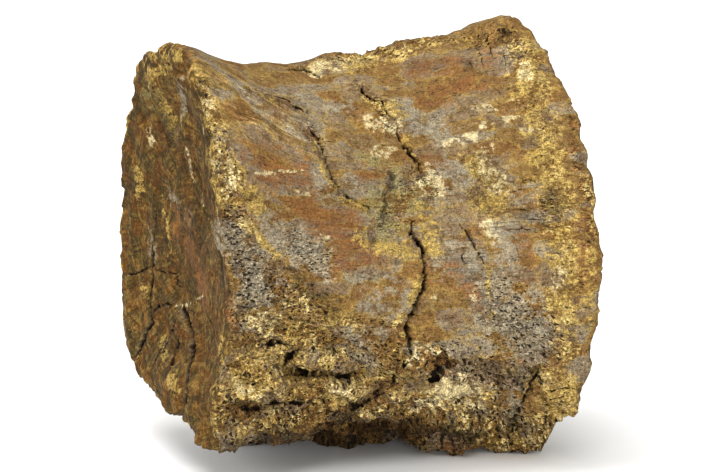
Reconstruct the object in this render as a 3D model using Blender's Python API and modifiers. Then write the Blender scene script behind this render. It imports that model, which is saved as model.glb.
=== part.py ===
"""A fossil dinosaur vertebra: the spool-shaped body of one tail bone, its arch broken away.

The bone lies with its long axis along X, as it rests on a table. Its shallow-dished end face at -X
and its weathered flank at -Y are the show sides. Units are metres, +Z is up, and the floor is z = 0.
"""

import math

import bmesh
import bpy
from mathutils import Vector, noise
from mathutils.bvhtree import BVHTree

MM = 0.001

# Driving dimensions, in millimetres. The bone's axis runs along X at AXIS_HEIGHT over the floor.
RIM_TO_RIM = 97.5
AXIS_HEIGHT = 57.5

# Radius of each end rim about the axis, every 15 degrees: from the flank at -Y, over the top,
# down the far flank and back under the bone.
DISHED_RIM = (
    46.5, 42, 45.5, 48.5, 51, 54, 54, 53, 54, 53, 51, 51.5,
    52, 52, 55, 55, 50, 46, 44.5, 49, 57, 53, 50.5, 50,
)
BROAD_RIM = (
    50, 48.5, 48, 48.8, 50.3, 54, 58, 58.5, 56.5, 54, 53.5, 54.5,
    55.5, 55, 54.5, 55, 56, 57, 58, 58, 57, 56.5, 51.5, 51,
)

# How deep the waist sinks under the line from rim to rim, every 45 degrees from the same flank.
# A lean under 1 puts the narrowest place nearer to the dished end.
WAIST_DEPTH = (11, 10, 9, 10, 12, 9, 4, 7)
WAIST_LEAN = 0.85

# The meridian of each end: depth in from the rim's crest, and share of the rim's radius.
DISHED_END = ((7, 0), (6.4, 0.3), (4.4, 0.58), (2.1, 0.78), (0.5, 0.9), (0, 0.955), (0.8, 0.99), (3, 1))
BROAD_END = ((5, 0), (4.6, 0.35), (3.2, 0.6), (1.3, 0.78), (0.2, 0.88), (0.1, 0.935), (1.6, 0.98), (5, 1))

# The band of the broad rim stands proud of the waist beside it, from this x outwards.
BAND_HEIGHT = 1.3
BAND_START = 34.0
BAND_END = 38.0

# Mesh of the raw bone before it is thinned to its final faces.
SEGMENTS = 200
RINGS = 132
MEAN_RADIUS = 50.0
MERIDIAN_SAMPLES = 60
FINAL_FACES = 9000

# Swells and lumps of the weathered skin: height and breadth.
SWELLS = (1.1, 17)
LUMPS = (0.7, 6.5)

# Below this line, as (x, z), the flanks are broken into ledges of bare inner bone.
BREAK_LINE = ((-50, 51), (-38, 48), (-27, 42), (-18, 37), (-4, 31), (4, 27), (20, 25), (36, 20), (50, 15))
BREAK_DEPTH = 1.4
BREAK_SLOPE = 3.0
LEDGE_SPACING = 9.5
LEDGE_DEPTH = 3.2
LEDGE_UNDERCUT = 0.22
LEDGE_START = 5.0
FLANK_EDGE = (12, 24)
CRUMBS = (0.9, 5)

# Growth folds follow the rim of each end face, and lumps cover its worn middle.
FOLD_HEIGHT = 0.45
FOLD_PITCH = 1.9
FOLD_WARP = (9, 26)
FOLD_REACH = (18, 34)
FACE_REACH = (44, 52)
FACE_LUMPS = (1.1, 10)

# The stump of the arch under the bone, on which it rests: an oval in plan, with a hollow in it.
STUMP_CENTRE = (9, 8)
STUMP_HALF = (42, 28)
STUMP_FLOOR = 3.0
STUMP_LUMPS = (2.4, 8)
STUMP_CRUMBS = (1.2, 3.5)
UNDERSIDE = (24, 32)
HOLLOW = (0, -10, 13)

# Lumps under the stump that meet the floor: x, y, radius and how far each reaches down.
FEET = (
    (-24, 3, 13, 5),
    (-20, 25, 14, 6.5),
    (22, -14, 13, 5),
    (34, 25, 15, 5.5),
    (7, 28, 12, 4),
    (40, -13, 12, 4.5),
)

# Crust and worn spots on the skin: x, y, z, radius, and height (a pit where it is below zero).
SPOTS = (
    (-6, 3, 103, 12, 2.6),
    (12, 5, 105, 9, 1.4),
    (11, -32, 25, 4, -4.5),
    (37, -24, 9, 4.5, -4),
    (-25, -35, 27, 5, -2.5),
    (-40, -46, 60, 9, 1.2),
    (41, -46, 60, 10, 1.4),
    (42, -40, 22, 9, 1.8),
    (-8, 44, 70, 9, 1.5),
    (18, 46, 34, 7, -3),
    (-30, 40, 32, 6, -3),
    (-6, 10, 103, 6, -2),
    (22, 30, 100, 9, 1.6),
)

# Cracks that open the flank, as (x, z) along each. A crack is a wedge, narrow at its depth.
MAIN_CRACK = ((0, 98), (1.5, 90), (3, 83), (8, 75), (5, 70), (4, 64), (5, 56), (5, 48), (2.5, 41), (1.5, 34), (2, 26))
SIDE_CRACK = ((-20, 88), (-17.5, 83), (-15, 76), (-8.5, 69.5))
CRACK_WIDTH = 1.5
CRACK_DEPTH = 5.0
CRACK_TAPER = 0.12
CRACK_WANDER = (0.9, 2.5)
CRACK_STEPS = 4

TABLE_SIZE = 400.0
SLIVER = 0.02

WEATHERED_BONE = (0.36, 0.22, 0.10, 1)
BONE_ROUGHNESS = 0.8


def clear_scene():
    for obj in list(bpy.data.objects):
        bpy.data.objects.remove(obj)


def collection_named(name):
    collection = bpy.data.collections.new(name)
    bpy.context.scene.collection.children.link(collection)
    return collection


def smooth_step(low, high, value):
    share = min(1.0, max(0.0, (value - low) / (high - low)))
    return share * share * (3 - 2 * share)


def curve_through(a, b, c, d, share):
    """The smooth curve from b to c, with a before it and d after it."""
    bend = 2 * a - 5 * b + 4 * c - d
    twist = 3 * (b - c) + d - a
    return b + 0.5 * share * (c - a + share * (bend + share * twist))


def around(values, turn):
    """A value on the smooth closed outline through evenly spaced values, at turn from 0 to 1."""
    place = turn * len(values)
    first = math.floor(place)
    near = [values[(first + step) % len(values)] for step in (-1, 0, 1, 2)]
    return curve_through(*near, place - first)


def along(points, share):
    """A point on the smooth open curve through the points, at share from 0 to 1."""
    place = share * (len(points) - 1)
    first = min(math.floor(place), len(points) - 2)
    last = len(points) - 1
    near = [points[min(max(first + step, 0), last)] for step in (-1, 0, 1, 2)]
    return [curve_through(*axis, place - first) for axis in zip(*near)]


def height_at(line, x):
    """The height of a line of (x, z) points at x."""
    for (x0, z0), (x1, z1) in zip(line, line[1:]):
        if x < x1:
            break
    return z0 + (z1 - z0) * min(1.0, max(0.0, (x - x0) / (x1 - x0)))


def bumps(point, height_and_breadth, seed=0.0):
    """Smooth random relief, up to its height both ways. Another seed gives another relief."""
    height, breadth = height_and_breadth
    return height * noise.noise(point / breadth + Vector((seed, 2 * seed, 3 * seed)))


def meridian():
    """Evenly spaced points from the middle of the dished face, along the flank, to the other face."""
    half = RIM_TO_RIM / 2
    dished, broad = (
        [along(points, step / MERIDIAN_SAMPLES) for step in range(MERIDIAN_SAMPLES + 1)]
        for points in (DISHED_END, BROAD_END)
    )
    line = [(depth - half, radius) for depth, radius in dished]
    line += [(half - depth, radius) for depth, radius in reversed(broad)]
    run = [0.0]
    for (x0, r0), (x1, r1) in zip(line, line[1:]):
        run.append(run[-1] + math.hypot(x1 - x0, (r1 - r0) * MEAN_RADIUS))
    points = []
    place = 0
    for ring in range(RINGS + 1):
        target = run[-1] * ring / RINGS
        while place < len(run) - 2 and run[place + 1] < target:
            place += 1
        share = (target - run[place]) / (run[place + 1] - run[place])
        points.append([a + (b - a) * share for a, b in zip(line[place], line[place + 1])])
    return points


def bone_radius(x, turn):
    """Radius of the bone about its axis, waist included."""
    along_bone = min(1.0, max(0.0, x / RIM_TO_RIM + 0.5))
    rim = (1 - along_bone) * around(DISHED_RIM, turn) + along_bone * around(BROAD_RIM, turn)
    band = BAND_HEIGHT * (smooth_step(BAND_START, BAND_END, x) - 1)
    return rim + band - around(WAIST_DEPTH, turn) * math.sin(math.pi * along_bone**WAIST_LEAN)


def ledges(point):
    """How far the broken lower flank steps in: a lip at the foot of each layer, and a shade under it."""
    drawn_out = Vector((point.x / 24, point.y / 14, point.z / 12))
    ragged = bumps(drawn_out, (4, 1), seed=5) + bumps(drawn_out, (1.5, 0.4))
    below = height_at(BREAK_LINE, point.x) + ragged - point.z
    from_rim = point.x + RIM_TO_RIM / 2
    broken = smooth_step(0, BREAK_SLOPE, below) * smooth_step(0, LEDGE_START, from_rim)
    flank = smooth_step(*FLANK_EDGE, abs(point.y))
    layer = (below / LEDGE_SPACING) % 1.0
    recess = LEDGE_DEPTH * (1 - layer) * smooth_step(0, LEDGE_UNDERCUT, layer)
    return broken * flank * (bumps(point, CRUMBS) - recess - BREAK_DEPTH)


def spots(point):
    total = 0.0
    for x, y, z, radius, height in SPOTS:
        away = (point - Vector((x, y, z))).length / radius
        if away < 1:
            total += height * (1 - away * away) ** 2
    return total


def face_folds(point):
    radius = math.hypot(point.y, point.z - AXIS_HEIGHT)
    warped = radius + bumps(point, FOLD_WARP)
    folds = FOLD_HEIGHT * math.sin(warped / FOLD_PITCH) * smooth_step(*FOLD_REACH, radius)
    relief = folds * (1 + bumps(point, (1, 15))) + bumps(point, FACE_LUMPS)
    return relief * (1 - smooth_step(*FACE_REACH, radius))


def stump_drop(point):
    """How far the underside reaches down to the stump and its feet."""
    flat = Vector((point.x, point.y, 0))
    rough = bumps(flat, STUMP_LUMPS) + bumps(flat, STUMP_CRUMBS)
    oval = math.hypot(
        (point.x - STUMP_CENTRE[0]) / STUMP_HALF[0],
        (point.y - STUMP_CENTRE[1]) / STUMP_HALF[1],
    )
    on_stump = 1 - smooth_step(0.75, 1.2, oval + bumps(flat, (0.3, 9), seed=4))
    from_hollow = math.hypot(point.x - HOLLOW[0], point.y - HOLLOW[1]) / HOLLOW[2]
    drop = on_stump * smooth_step(0.5, 1.4, from_hollow) * max(0.0, point.z - STUMP_FLOOR - rough)
    for x, y, radius, reach in FEET:
        away = math.hypot(point.x - x, point.y - y) / radius
        if away < 1:
            drop += reach * (1 - away * away) ** 1.5
    return drop


def raw_bone():
    """A sphere whose poles sit in the end faces, drawn out into the spool shape of the bone."""
    bm = bmesh.new()
    bmesh.ops.create_uvsphere(bm, u_segments=SEGMENTS, v_segments=RINGS, radius=1)
    line = meridian()
    for vert in bm.verts:
        ring = round(math.acos(max(-1.0, min(1.0, vert.co.z))) / math.pi * RINGS)
        turn = (math.atan2(vert.co.y, -vert.co.x) / math.tau) % 1.0
        x, share = line[ring]
        radius = share * bone_radius(x, turn)
        angle = turn * math.tau
        vert.co = (x, -radius * math.cos(angle), AXIS_HEIGHT + radius * math.sin(angle))
    bmesh.ops.recalc_face_normals(bm, faces=bm.faces)
    return bm


def weather(bm):
    """Pushes the raw bone's skin out and in by its lumps, folds, ledges and spots, and draws out the stump."""
    bm.normal_update()
    moves = []
    for vert in bm.verts:
        point = vert.co.copy()
        facing_end = smooth_step(0.5, 0.85, abs(vert.normal.x))
        height = bumps(point, SWELLS, seed=3) + bumps(point, LUMPS, seed=11) + spots(point)
        height += facing_end * face_folds(point) + (1 - facing_end) * ledges(point)
        moved = point + vert.normal * height
        underside = smooth_step(0.1, 0.5, -vert.normal.z) * (1 - smooth_step(*UNDERSIDE, point.z))
        moved.z -= underside * stump_drop(moved)
        moves.append(moved)
    for vert, moved in zip(bm.verts, moves):
        vert.co = moved


def middle_of(bm, axis):
    places = [vert.co[axis] for vert in bm.verts]
    return (min(places) + max(places)) / 2


def object_from(bm, name, collection):
    """Makes an object of a mesh that was modelled in millimetres."""
    bmesh.ops.scale(bm, vec=(MM, MM, MM), verts=bm.verts)
    mesh = bpy.data.meshes.new(name)
    bm.to_mesh(mesh)
    bm.free()
    obj = bpy.data.objects.new(name, mesh)
    collection.objects.link(obj)
    return obj


def cutter_from(bm, name, collection):
    cutter = object_from(bm, name, collection)
    cutter.hide_render = True
    cutter.display_type = "WIRE"
    return cutter


def crack_cutter(name, route, skin, collection):
    """A wedge along a route on the near flank: open at the skin and closing towards its depth."""
    outside = 4.0
    far_away = 200.0
    inwards = Vector((0, 1, 0))
    samples = CRACK_STEPS * (len(route) - 1)
    bm = bmesh.new()
    mouth = []
    root = []
    for step in range(samples + 1):
        x, z = along(route, step / samples)
        x += bumps(Vector((x, 1, z)), CRACK_WANDER)
        hit = skin.ray_cast(Vector((x, -far_away, z)), inwards)[0]
        towards_end = min(step, samples - step) / samples
        depth = CRACK_DEPTH * min(1.0, 0.35 + 3 * towards_end)
        mouth.append(bm.verts.new(hit - inwards * outside))
        root.append(bm.verts.new(hit + inwards * depth))
    for step in range(samples):
        bm.faces.new((mouth[step], mouth[step + 1], root[step + 1], root[step]))
    bmesh.ops.recalc_face_normals(bm, faces=bm.faces)
    cutter = cutter_from(bm, name, collection)
    opening = cutter.vertex_groups.new(name="opening")
    opening.add(range(0, 2 * samples + 2, 2), 1.0, "REPLACE")
    opening.add(range(1, 2 * samples + 2, 2), CRACK_TAPER, "REPLACE")
    wall = cutter.modifiers.new("crack width", "SOLIDIFY")
    wall.thickness = CRACK_WIDTH * MM
    wall.offset = 0
    wall.vertex_group = "opening"
    return cutter


def table_cutter(collection):
    """The table top under the bone: the feet of the stump are cut flat where they rest on it."""
    bm = bmesh.new()
    bmesh.ops.create_cube(bm, size=TABLE_SIZE)
    cutter = cutter_from(bm, "table top", collection)
    cutter.location.z = -TABLE_SIZE / 2 * MM
    return cutter


def bone_material():
    material = bpy.data.materials.new("weathered fossil bone")
    material.use_nodes = True
    shader = material.node_tree.nodes["Principled BSDF"]
    shader.inputs["Base Color"].default_value = WEATHERED_BONE
    shader.inputs["Roughness"].default_value = BONE_ROUGHNESS
    shader.inputs["Metallic"].default_value = 0.0
    return material


def subtract(obj, cutter):
    cut = obj.modifiers.new(cutter.name, "BOOLEAN")
    cut.operation = "DIFFERENCE"
    cut.object = cutter


def centrum(parts, cutters):
    bm = raw_bone()
    weather(bm)
    skin = BVHTree.FromBMesh(bm)
    middle = [middle_of(bm, axis) * MM for axis in (0, 1)]
    raw_faces = 2 * len(bm.faces)
    bone = object_from(bm, "centrum", parts)
    bone.data.materials.append(bone_material())
    thin = bone.modifiers.new("thin the faces", "DECIMATE")
    thin.ratio = FINAL_FACES / raw_faces
    thin.use_collapse_triangulate = True
    subtract(bone, crack_cutter("main crack", MAIN_CRACK, skin, cutters))
    subtract(bone, crack_cutter("side crack", SIDE_CRACK, skin, cutters))
    subtract(bone, table_cutter(cutters))
    weld = bone.modifiers.new("close the slivers", "WELD")
    weld.merge_threshold = SLIVER * MM
    place = bpy.data.objects.new("bone placement", None)
    parts.objects.link(place)
    place.location = (-middle[0], -middle[1], 0)
    for obj in [bone, *cutters.objects]:
        obj.parent = place


def main():
    clear_scene()
    parts = collection_named("fossil vertebra")
    cutters = collection_named("cutters")
    centrum(parts, cutters)


main()
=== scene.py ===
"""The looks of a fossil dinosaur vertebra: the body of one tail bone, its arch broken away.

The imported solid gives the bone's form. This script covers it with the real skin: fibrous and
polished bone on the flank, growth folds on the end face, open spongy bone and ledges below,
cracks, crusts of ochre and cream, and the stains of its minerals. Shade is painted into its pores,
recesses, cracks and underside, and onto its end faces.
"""

import math

import bpy
import numpy as np
from bpy.props import FloatProperty, FloatVectorProperty, IntProperty, PointerProperty
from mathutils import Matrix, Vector, noise
from mathutils.bvhtree import BVHTree


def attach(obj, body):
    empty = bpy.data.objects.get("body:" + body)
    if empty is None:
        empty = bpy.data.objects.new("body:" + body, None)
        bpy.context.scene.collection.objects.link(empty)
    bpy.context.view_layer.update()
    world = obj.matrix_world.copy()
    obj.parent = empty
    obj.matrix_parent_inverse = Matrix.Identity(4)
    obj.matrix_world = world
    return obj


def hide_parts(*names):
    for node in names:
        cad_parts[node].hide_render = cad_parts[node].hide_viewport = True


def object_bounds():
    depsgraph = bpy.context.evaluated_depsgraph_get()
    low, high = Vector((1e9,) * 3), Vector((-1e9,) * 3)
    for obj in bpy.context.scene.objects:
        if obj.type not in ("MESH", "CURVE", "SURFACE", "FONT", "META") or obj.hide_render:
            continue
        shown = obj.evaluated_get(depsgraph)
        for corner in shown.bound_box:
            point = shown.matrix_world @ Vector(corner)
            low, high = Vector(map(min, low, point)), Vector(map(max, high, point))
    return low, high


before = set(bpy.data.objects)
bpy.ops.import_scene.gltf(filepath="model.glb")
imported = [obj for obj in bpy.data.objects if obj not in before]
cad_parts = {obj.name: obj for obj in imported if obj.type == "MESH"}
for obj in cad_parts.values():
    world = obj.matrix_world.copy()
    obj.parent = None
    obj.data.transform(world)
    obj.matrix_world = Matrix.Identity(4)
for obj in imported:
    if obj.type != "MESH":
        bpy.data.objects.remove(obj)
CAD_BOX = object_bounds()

bl_info = {
    "name": "Fossil vertebra",
    "version": (1, 0, 0),
    "blender": (4, 5, 0),
    "location": "View3D > Sidebar > Fossil",
    "description": "Models the weathered skin of a fossil vertebra around its packed solid",
    "category": "Object",
}

MM = 0.001

# The photograph's frame, in pixels. Marks on the bone are placed by the pixels where they show.
PHOTO_WIDTH = 708
PHOTO_HEIGHT = 472
PHOTO_MIDDLE = (360, 240)
ROUTE_STEP = 5

# The bone, in millimetres: its axis runs along X at this height, and its rims stand at these x.
AXIS_HEIGHT = 57.5
RIM_X = 48.7
MEAN_RADIUS = 50.0
# How far the fibres lean up towards the dished end on the near flank, in radians.
FIBRE_LEAN = 0.3
# How long, broad and high a crumb of the spongy bone is, in crumb breadths.
CRUMB_SHAPE = (1.8, 1.0, 0.7)
# How far the open spongy bone lies under the skin around it, in millimetres.
OPEN_BONE_DEPTH = 0.7

# Where each zone of the bone grows from nothing to full: heights, places along and across the bone
# and distances in millimetres, and slopes as the cosine of their angle.
DISHED_SLOPE = (0.35, 0.85)
BROAD_SLOPE = (0.45, 0.8)
END_DISTANCE = (30, 40)
SHOWN_SLOPE = (-0.1, 0.2)
UNDER_SLOPE = (0.55, 0.9)
BREAK_DEPTH = (-2, 4)
FOOT_HEIGHT = (17, 9)
RIM_DISTANCE = (5.5, 2.5)
RIM_RADIUS = (38, 46)
LEAN_ALONG = (-47, -8)
LEAN_HEIGHT = (0, 30)
# Where the painted shade on the foot and on the underside grows, along the bone.
FOOT_SHADE_ALONG = (5, -15)
UNDER_SHADE_ALONG = (18, 6)
# The part of the foot that is slid back, and how far, in millimetres.
TUCK_HEIGHT = (16, 4)
TUCK_ALONG = (2, -12)
TUCK_INSIDE = (-47, -40)
TUCK_ACROSS = (34, -10)
TUCK_BACK = 22
# Heights of the relief, in millimetres: swells, folds and rays of the end faces, the faces' own
# grain, fine grit, and rubble on foot, rim and spongy bone. The broad end has a share of the rays,
# with their tops as its grooves.
SWELL_HEIGHT = 0.35
FOLD_HEIGHT = 0.36
RAY_HEIGHT = 0.3
BROAD_SHARE = -0.4
FACE_GRAIN = 0.4
GRIT_HEIGHT = 0.06
FOOT_RUBBLE = 0.9
RIM_RUBBLE = 0.7
SPONGE_RUBBLE = 0.35
# How much more the fibres stand out where long ones show.
LONG_FIBRES = 3
# Shares of the crumbs, lumps, layers and pits in the height of the spongy bone.
CRUMB_SHARE = 0.8
LUMP_SHARE = 0.9
LAYER_SHARE = 0.7
PIT_SHARE = 0.6

# Which of the cracks the solid has, how near to them its skin is smoothed, in millimetres, and how
# often. The whole skin is then smoothed a little, which takes away the solid's facets.
PACKED_CRACKS = slice(1, 7)
CRACK_FILL_REACH = 2.6
CRACK_FILL_ROUNDS = 160
FACET_ROUNDS = 10
# Rounds of averaging that take away the skin's small hollows, and then its broad ones. How deep the skin
# lies under them sets the painted shade in its recesses.
HOLLOW_ROUNDS = 10
BROAD_HOLLOW_ROUNDS = 50
# How strong the random patches of colour are where no stroke is, and which share of that the side
# in the photograph has.
RANDOM_PATCHES = 0.65
RANDOM_SHOWN = 0.12
# A pixel just off the bone's edge is moved to the photograph's middle by steps of this share.
PIXEL_MOVES = 12
PIXEL_MOVE = 0.01

# The lamps: azimuth and elevation of each, and its width in the sky, in degrees.
LAMPS = {
    "key_light": (-21, 46, 30),
    "left_light": (-98, 28, 30),
    "front_light": (-14, 5, 24),
    "top_light": (-70, 72, 30),
}

# Cracks, and gouges along the dark shadow lines under ledges and under a crust plate: width, depth and
# route. All are darkened with earth and painted shade.
CRACKS_AND_SHADOW_LINES = (
    (0.5, 1.8, (363, 83), (362, 89), (364, 94), (370, 99), (376, 101), (382, 102)),
    (0.55, 3.0, (381, 99), (384, 106), (387, 113), (394, 119), (398, 125), (397, 134), (400, 140),
     (407, 148), (412, 156), (419, 162), (419, 168), (421, 177), (425, 183)),
    (0.6, 4.0, (416, 219), (411, 224), (412, 232), (414, 237), (418, 241), (422, 248), (423, 260),
     (426, 276), (423, 291), (414, 311)),
    (0.95, 5.0, (426, 276), (423, 291), (414, 311), (408, 323), (408, 337), (411, 351), (411, 362)),
    (0.7, 2.5, (411, 362), (397, 369), (394, 383), (386, 392)),
    (0.9, 1.4, (308, 127), (314, 135), (319, 140)),
    (0.45, 1.4, (317, 137), (320, 143), (325, 158), (330, 173), (338, 187), (350, 197), (363, 205)),
    (0.35, 0.9, (356, 201), (363, 205), (370, 207), (379, 208)),
    (0.4, 0.9, (251, 88), (268, 94), (286, 99), (300, 109), (310, 115)),
    (0.28, 0.6, (441, 185), (451, 190), (458, 198)),
    (0.3, 0.7, (457, 220), (465, 232), (471, 241), (478, 252), (486, 266)),
    (0.28, 0.6, (508, 181), (518, 182), (529, 179), (537, 183)),
    (0.28, 0.5, (512, 210), (519, 209), (533, 211)),
    (0.25, 0.5, (524, 219), (545, 220)),
    (0.25, 0.5, (537, 213), (537, 222)),
    (0.4, 0.6, (347, 272), (351, 275)),
    (0.6, 1.4, (288, 69), (304, 70), (311, 72), (320, 78), (330, 80)),
    (0.45, 1.4, (123, 276), (135, 274), (145, 269), (151, 266)),
    (1.0, 1.3, (156, 213), (154, 228), (152, 250), (152, 282), (149, 303), (151, 313)),
    (1.3, 1.7, (151, 313), (151, 324), (144, 338), (134, 358)),
    (0.6, 1.4, (151, 313), (158, 307), (166, 304), (173, 305)),
    (0.55, 1.1, (153, 270), (163, 272), (176, 274), (177, 283), (182, 289)),
    (2.2, 2.2, (182, 308), (188, 322), (192, 338), (191, 352), (186, 378), (183, 412)),
    (0.9, 1.0, (167, 334), (160, 350), (152, 366)),
    (0.9, 1.0, (179, 338), (174, 354), (168, 374)),
    (0.8, 1.0, (207, 316), (214, 330)),
    (0.9, 1.0, (161, 355), (172, 330), (176, 318)),
    (1.3, 2.4, (284, 366), (286, 358), (292, 352), (298, 350)),
    (1.2, 2.2, (292, 366), (303, 372), (318, 374), (330, 373), (343, 376), (358, 373)),
    (0.9, 1.6, (262, 345), (276, 342), (290, 344)),
    (1.4, 2.0, (238, 406), (250, 411), (262, 405)),
    (0.7, 1.5, (262, 405), (290, 402), (318, 404)),
    (0.9, 1.8, (350, 410), (362, 403), (372, 398), (386, 392)),
    (0.6, 1.2, (243, 383), (252, 384), (262, 383)),
    (2.6, 3.2, (438, 368), (435, 374), (434, 380)),
    (1.6, 2.2, (427, 380), (441, 378)),
    (0.9, 1.6, (541, 362), (536, 374), (529, 388), (522, 404), (514, 420), (511, 432)),
    (0.5, 0.9, (498, 392), (494, 404), (488, 416)),
    (0.3, 0.7, (534, 404), (548, 405), (568, 402)),
    (0.3, 0.6, (456, 246), (464, 262), (474, 270)),
    (0.25, 0.5, (498, 188), (512, 191), (528, 189)),
    (0.25, 0.5, (506, 230), (524, 229), (540, 233)),
    (0.25, 0.5, (470, 286), (488, 284), (500, 288)),
    (0.3, 0.6, (484, 36), (490, 48), (493, 60)),
    (0.3, 0.6, (474, 44), (480, 54), (484, 68)),
    (0.3, 0.6, (466, 58), (472, 66), (474, 76)),
    (0.25, 0.5, (500, 44), (505, 58), (506, 72)),
    (0.3, 0.8, (541, 388), (552, 391), (565, 388), (577, 389)),
    (0.3, 0.8, (536, 397), (550, 400), (572, 395)),
)

# Where the bone's outline is moved a little: reach, millimetres right and up in the view, and pixel.
NUDGES = (
    (16, -2.2, 0.6, (150, 66)),
    (8, -1.3, 0.3, (140, 84)),
    (22, -1.7, 0.0, (132, 150)),
    (20, -1.2, 0.0, (128, 335)),
    (9, -1.4, -1.4, (172, 405)),
    (7, 0.9, 1.2, (187, 427)),
    (8, 1.4, -1.7, (222, 442)),
    (7, 3.2, 0.8, (204, 440)),
    (10, 0.0, -4.4, (302, 422)),
    (12, -1.6, -0.5, (324, 438)),
    (10, 0.0, -2.0, (328, 436)),
    (10, 0.0, -3.6, (352, 436)),
    (16, 0.0, -4.4, (262, 420)),
    (10, 0.0, -1.6, (286, 414)),
    (6, 0.0, -1.2, (230, 434)),
    (14, 1.3, 0.3, (572, 112)),
    (20, 0.0, -1.1, (235, 62)),
    (13, 0.0, -1.4, (284, 78)),
    (10, 0.0, -0.9, (322, 66)),
    (10, 0.0, -0.9, (366, 62)),
    (10, 0.0, -1.6, (466, 40)),
    (8, 0.0, -1.4, (552, 66)),
    (8, 0.5, -1.4, (571, 410)),
    (8, 0.5, -2.0, (540, 438)),
    (11, -0.5, 4.4, (431, 455)),
)

# Undercut ledges of the broken bone: half width of the shelf below, depth and route.
LEDGES = (
    (2.6, 2.6, (283, 364), (291, 353), (299, 350)),
    (3.0, 2.8, (290, 368), (304, 373), (322, 373), (343, 375), (360, 372)),
    (2.0, 1.3, (252, 345), (270, 341), (286, 343)),
    (2.4, 1.5, (236, 406), (248, 409), (262, 402), (290, 401), (318, 403)),
    (2.5, 2.2, (344, 418), (356, 407), (368, 399), (384, 388)),
    (1.5, 1.0, (240, 380), (252, 383), (272, 381)),
    (2.5, 1.0, (400, 424), (420, 419), (440, 414), (462, 414), (480, 420)),
    (2.4, 0.9, (276, 262), (300, 281), (318, 294), (340, 312)),
    (1.8, 1.1, (466, 358), (490, 366), (520, 370), (541, 372)),
    (1.6, 1.1, (330, 346), (352, 350), (376, 356), (398, 360)),
    (2.5, 0.8, (289, 69), (304, 70), (311, 72), (320, 78), (328, 79)),
    (3.0, 0.7, (366, 96), (384, 106), (394, 119), (400, 140), (419, 162), (421, 177)),
    (2.5, 0.6, (309, 129), (319, 139), (327, 164), (342, 176), (362, 202), (377, 207)),
)

# Swells that stand out of the skin, and dents where the height is below zero: half width, height
# and route.
SWELLS = (
    (5.0, 1.5, (330, 63), (365, 62), (400, 50), (440, 43), (478, 33), (500, 26)),
    (1.6, 0.7, (398, 148), (414, 168), (424, 182)),
    (1.8, 0.7, (232, 352), (262, 356), (284, 352)),
    (2.0, 0.8, (300, 388), (330, 386), (352, 392)),
    (2.2, 1.3, (146, 72), (150, 84), (158, 95), (166, 113), (174, 132), (179, 142)),
    (1.9, -1.2, (143, 88), (151, 106), (159, 126), (167, 140)),
    (2.0, -0.8, (162, 96), (170, 112), (178, 128), (184, 142)),
    (1.3, 0.8, (182, 112), (187, 136), (190, 158), (194, 177), (200, 194), (208, 214)),
    (1.4, -0.7, (178, 124), (183, 150), (187, 172), (193, 196), (201, 216)),
    (3.0, 0.7, (140, 290), (165, 300), (180, 330)),
    (2.0, 0.6, (378, 124), (392, 122)),
    (2.6, 0.8, (428, 176), (422, 190)),
    (3.0, 0.9, (548, 385), (570, 398)),
    (3.5, 1.0, (236, 386), (300, 388), (348, 388)),
)

# Holes and deep pits: radius, depth and pixel.
HOLES = (
    (2.8, 1.3, (443, 364)),
    (1.0, 1.6, (286, 366)),
    (1.0, 1.4, (293, 355)),
    (1.3, 1.8, (170, 137)),
    (1.6, 2.0, (512, 429)),
    (1.3, 1.4, (536, 371)),
    (1.3, 1.6, (244, 408)),
    (1.0, 0.9, (468, 66)),
    (1.0, 0.9, (507, 36)),
)

# Colours and textures of the skin. Each stroke has its half width, strength and route.
RUST = (
    (2.8, 1.0, (288, 180), (302, 181)),
    (2.2, 0.8, (262, 180), (284, 178)),
    (3.2, 0.9, (304, 204), (326, 230)),
    (4.5, 0.9, (334, 224), (362, 254)),
    (2.4, 1.0, (338, 260), (350, 263)),
    (2.2, 0.8, (366, 175), (387, 176)),
    (2.8, 0.9, (425, 98), (464, 83)),
    (1.8, 0.8, (482, 86), (494, 84)),
    (3.0, 0.6, (236, 152), (300, 162)),
    (5.0, 0.7, (180, 222), (196, 256), (204, 292)),
    (1.6, 0.8, (168, 358), (169, 382)),
    (2.4, 0.7, (452, 262), (478, 300)),
    (2.0, 0.4, (572, 120), (584, 190), (592, 290)),
    (2.0, 0.7, (440, 363), (452, 368)),
    (2.2, 0.6, (520, 240), (528, 270)),
    (1.4, 0.9, (306, 128), (318, 140)),
    (1.0, 0.9, (398, 130), (404, 144), (412, 158), (422, 166), (436, 166)),
    (0.8, 0.8, (424, 240), (426, 262), (428, 282), (420, 304)),
    (1.6, 0.8, (424, 158), (438, 160)),
    (4.0, 0.6, (440, 96), (470, 76), (490, 60)),
    (4.0, 0.9, (422, 68), (448, 64)),
    (3.0, 0.5, (250, 196), (296, 200)),
    (1.6, 0.7, (228, 300), (232, 330)),
    (2.5, 0.7, (448, 450), (472, 450)),
)
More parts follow.
